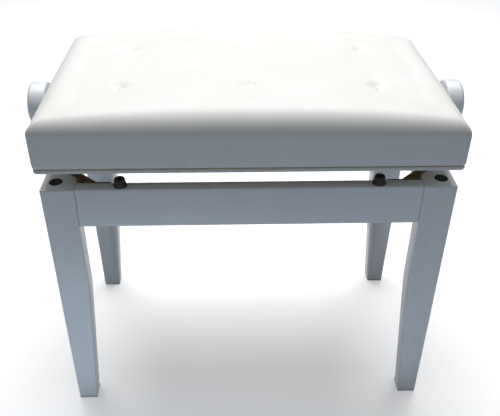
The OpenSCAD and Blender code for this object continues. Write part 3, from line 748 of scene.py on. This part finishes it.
foam_pad = piece("foam_pad", mesh_of(padded_form(
    cover_high.x - FOAM_INSET, cover_high.y - FOAM_INSET, CROWN_TOP - FOAM_BELOW, foam_low.z,
    closed=True), "foam_pad"), "foam", "seat", "foam", "seat_foam", smooth=50)


# ---------------------------------------------------------------- welt

welt_low, welt_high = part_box("seat_welt")
WELT_CORNER = 7.5 * MM


def around_seat(half_l, half_w, r, per_side=40):
    """Points and outward directions round a rounded rectangle."""
    corners = [(half_l - r, -half_w + r, -90), (half_l - r, half_w - r, 0),
               (-half_l + r, half_w - r, 90), (-half_l + r, -half_w + r, 180)]
    out = []
    for n, (cx, cy, start) in enumerate(corners):
        for k in range(9):
            a = math.radians(start + 90 * k / 8)
            outward = Vector((math.cos(a), math.sin(a), 0))
            out.append((Vector((cx, cy, 0)) + r * outward, outward))
        nx, ny, _ = corners[(n + 1) % 4]
        p, q = out[-1][0], Vector((nx, ny, 0)) + r * outward
        out += [(p.lerp(q, k / per_side), outward) for k in range(1, per_side)]
    return out


def closed_strip(bm, rows):
    """Faces between closed rows of vertices, with the last row joined to the first."""
    for a in range(len(rows)):
        b = (a + 1) % len(rows)
        for k in range(len(rows[a])):
            j = (k + 1) % len(rows[a])
            bm.faces.new((rows[a][k], rows[b][k], rows[b][j], rows[a][j]))


def swept(profile, path):
    """Sweeps (outward, up) points round a closed path."""
    bm = bmesh.new()
    closed_strip(bm, [[bm.verts.new(p + n * u + Vector((0, 0, z))) for u, z in profile]
                      for p, n in path])
    return bm


h = welt_high.z - welt_low.z
profile = [(-2.4 * MM, 0.2 * MM), (-1.2 * MM, 0.0)]
for k in range(9):
    a = math.radians(-90 + 180 * k / 8)
    profile.append((-0.9 * MM + 0.9 * MM * math.cos(a), h / 2 + (h / 2 - 0.1 * MM) * math.sin(a)))
profile += [(-1.3 * MM, h - 0.2 * MM), (-2.4 * MM, h - 0.2 * MM)]
path = around_seat(welt_high.x, welt_high.y, WELT_CORNER)
bm = swept([(u, welt_low.z + z) for u, z in profile], path)
piece("seat_edge_welt", mesh_of(bm, "seat_edge_welt"), "ivory_welt", "seat", "ivory_welt",
      "seat_welt", smooth=60)


# ---------------------------------------------------------------- underside

hem_low, hem_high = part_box("seat_hem")
HEM_W, HEM_CORNER, HEM_STEPS = 22 * MM, 3 * MM, 6


def hem_mesh():
    """Turned-in margin of the cover: slightly rippled, pleated at the corners."""
    bm = bmesh.new()
    path = around_seat(hem_high.x, hem_high.y, HEM_CORNER, 60)
    rows = []
    for n, (p, out) in enumerate(path):
        corner = math.exp(-((abs(abs(p.x) - hem_high.x) + abs(abs(p.y) - hem_high.y)) / 0.02) ** 2)
        edge = 0.7 * MM * math.sin(n * 1.7) + 0.4 * MM * math.sin(n * 0.61 + 1)
        low_row, high_row = [], []
        for k in range(HEM_STEPS + 1):
            t = k / HEM_STEPS
            d = (HEM_W - 2 * MM + edge) * t
            lift = (0.18 * MM * math.sin(n * 0.9 + 2 * t) * t
                    + 0.35 * MM * corner * math.sin(n * 2.4))
            q = p - out * d
            q = Vector((math.copysign(min(abs(q.x), hem_high.x), p.x),
                        math.copysign(min(abs(q.y), hem_high.y), p.y), 0))
            low_row.append(bm.verts.new((q.x, q.y, hem_low.z + 0.3 * MM - lift * 0.5)))
            high_row.append(bm.verts.new((q.x, q.y, hem_high.z)))
        rows.append(low_row + high_row[::-1])
    closed_strip(bm, rows)
    return mesh_of(bm, "hem")


piece("cover_hem", hem_mesh(), "leather_hem", "seat", "leather_hem", "seat_hem", smooth=50)

board_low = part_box("seat_board")[0]
STITCH_REACH, STITCH_R, BUTTON_R = 4.2 * MM, 0.55 * MM, 9 * MM


def surface_z(x, y):
    """Height of the cushion's skin over a point."""
    best = min(cushion.data.vertices, key=lambda v: (v.co.x - x) ** 2 + (v.co.y - y) ** 2
               + (0 if v.co.z > foam_low.z else 1))
    return best.co.z


def stitch_rings(tx, ty, z, turn):
    """A short thread that dips at both ends, turned about the tuft's middle."""
    rings = []
    for k in range(9):
        t = -1 + 2 * k / 8
        px = tx + STITCH_REACH * t * math.cos(turn)
        py = ty + STITCH_REACH * t * math.sin(turn)
        pz = z + 0.9 * MM - 2.2 * MM * t ** 4
        rings.append([(px - STITCH_R * math.cos(a) * math.sin(turn),
                       py + STITCH_R * math.cos(a) * math.cos(turn), pz + STITCH_R * math.sin(a))
                      for a in [2 * math.pi * j / 10 for j in range(10)]])
    return rings


BUTTON = [(0, -3.0 * MM), (0.5 * BUTTON_R, -2.9 * MM), (0.85 * BUTTON_R, -2.3 * MM),
          (0.98 * BUTTON_R, -1.4 * MM), (BUTTON_R, -0.7 * MM), (0.97 * BUTTON_R, -0.1 * MM), (0, 0)]

bm = bmesh.new()
for tx, ty in TUFTS:
    z = surface_z(tx, ty)
    for turn in (0.5, -0.9):
        loft(bm, stitch_rings(tx, ty, z, turn))
    lathe(bm, BUTTON, Matrix.Translation((tx, ty, board_low.z)), 32)
piece("tuft_stitches", mesh_of(bm, "tuft_stitches"), "tuft_thread", "seat", "tuft_thread",
      "tuft_ties", smooth=50)


# ---------------------------------------------------------------- stage, camera and light

def stage_piece(name, mesh, look, glow, strength):
    """Links a mesh that glows softly by itself and gives no light to the object."""
    look.shader.inputs["Emission Color"].default_value = (*glow, 1)
    look.shader.inputs["Emission Strength"].default_value = strength
    mesh.materials.append(look.mat)
    obj = bpy.data.objects.new(name, mesh)
    bpy.context.scene.collection.objects.link(obj)
    obj.visible_diffuse = False
    return obj


def stage_floor():
    """Plain pale floor."""
    bm = bmesh.new()
    bmesh.ops.create_grid(bm, x_segments=8, y_segments=8, size=12)
    look = Look("floor", (0.86, 0.86, 0.86), 0.7)
    look.color(look.ramp(look.noise(3, 3), [(0.3, 0.90), (0.7, 0.92)]))
    stage_piece("floor", mesh_of(bm, "floor"), look, (1, 1, 1), 0.32)


def stage_backdrop():
    """Pale round wall far behind everything."""
    radius, rise, around = 11.5, 14.0, 96
    bm = bmesh.new()
    rows = [[bm.verts.new((radius * math.cos(2 * math.pi * k / around),
                           radius * math.sin(2 * math.pi * k / around), z))
             for k in range(around)] for z in (0.0, rise)]
    for a in range(around):
        b = (a + 1) % around
        bm.faces.new((rows[0][b], rows[0][a], rows[1][a], rows[1][b]))
    mesh = bpy.data.meshes.new("backdrop")
    bm.to_mesh(mesh)
    bm.free()
    mesh.shade_smooth()
    look = Look("backdrop", (0.80, 0.81, 0.82), 0.9)
    look.color(look.ramp(look.noise(0.4, 2), [(0.3, (0.78, 0.79, 0.80)),
                                              (0.7, (0.82, 0.83, 0.84))]))
    obj = stage_piece("backdrop", mesh, look, (0.93, 0.95, 0.97), 0.62)
    obj.visible_glossy = obj.visible_shadow = False


stage_floor()
stage_backdrop()

# The camera comes from a perspective fit of the leg corners.
CAMERA_AT = (-0.0288, -0.8900, 0.8676)
PITCH_DOWN, YAW, ROLL = (math.radians(a) for a in (34.09, -2.189, 0.5575))
SENSOR_MM, LENS_MM = 36, 47.98
forward = Vector((-math.sin(YAW) * math.cos(PITCH_DOWN), math.cos(YAW) * math.cos(PITCH_DOWN),
                  -math.sin(PITCH_DOWN)))
right = Vector((math.cos(YAW), math.sin(YAW), 0))
up = right.cross(forward)
right, up = (math.cos(ROLL) * right + math.sin(ROLL) * up,
             -math.sin(ROLL) * right + math.cos(ROLL) * up)
optics = bpy.data.cameras.new("camera")
optics.sensor_width, optics.lens = SENSOR_MM, LENS_MM
optics.clip_start, optics.clip_end = 0.05, 60
camera = bpy.data.objects.new("camera", optics)
camera.matrix_world = Matrix.Translation(CAMERA_AT) @ Matrix(
    (right, up, -forward)).transposed().to_4x4()
bpy.context.scene.collection.objects.link(camera)
bpy.context.scene.camera = camera


def area_light(name, at, aim, size, power, color=(1, 1, 1)):
    """Rectangle of light at a place, facing another, in watts."""
    data = bpy.data.lights.new(name, "AREA")
    data.shape = "RECTANGLE"
    data.size, data.size_y = size
    data.energy = power
    data.color = color
    obj = bpy.data.objects.new(name, data)
    obj.location = at
    obj.rotation_euler = (Vector(aim) - Vector(at)).to_track_quat("-Z", "Y").to_euler()
    obj.visible_camera = False
    bpy.context.scene.collection.objects.link(obj)


area_light("key_above", (0.0, 0.9, 2.6), (0, 0.05, 0.4), (2.4, 1.6), 68)
area_light("floor_bounce", (0.0, -0.75, 0.01), (0, -0.75, 1), (2.4, 1.1), 2.8, (0.60, 0.76, 1.0))
area_light("foot_bounce", (-0.2, -0.42, 0.03), (-0.2, -0.155, -0.02), (0.7, 0.05), 0.32,
           (0.62, 0.80, 1.0))
area_light("left_bounce", (-0.75, 0.4, 0.01), (-0.75, 0.4, 1.0), (0.6, 1.0), 2.8, (0.86, 0.93, 1.0))
area_light("right_bounce", (0.75, 0.4, 0.01), (0.75, 0.4, 1.0), (0.6, 1.0), 3.4, (0.95, 0.97, 1.0))

world = bpy.data.worlds.new("studio")
bpy.context.scene.world = world
world.use_nodes = True
tree = world.node_tree
sky = tree.nodes["Background"]
coord = tree.nodes.new("ShaderNodeTexCoord")
split = tree.nodes.new("ShaderNodeSeparateXYZ")
ramp = tree.nodes.new("ShaderNodeValToRGB")
rescale = tree.nodes.new("ShaderNodeMapRange")
rescale.inputs["From Min"].default_value = -1
rescale.inputs["From Max"].default_value = 1
tree.links.new(coord.outputs["Generated"], split.inputs[0])
tree.links.new(split.outputs["Z"], rescale.inputs["Value"])
tree.links.new(rescale.outputs["Result"], ramp.inputs["Fac"])
tree.links.new(ramp.outputs["Color"], sky.inputs["Color"])
stops = ramp.color_ramp.elements
stops[0].position, stops[0].color = 0.0, (0.15, 0.18, 0.21, 1)
stops[1].position, stops[1].color = 1.0, (0.72, 0.74, 0.77, 1)
mid = stops.new(0.5)
mid.color = (0.080, 0.095, 0.110, 1)
sky.inputs["Strength"].default_value = 0.52

bpy.context.scene.view_settings.view_transform = "Standard"
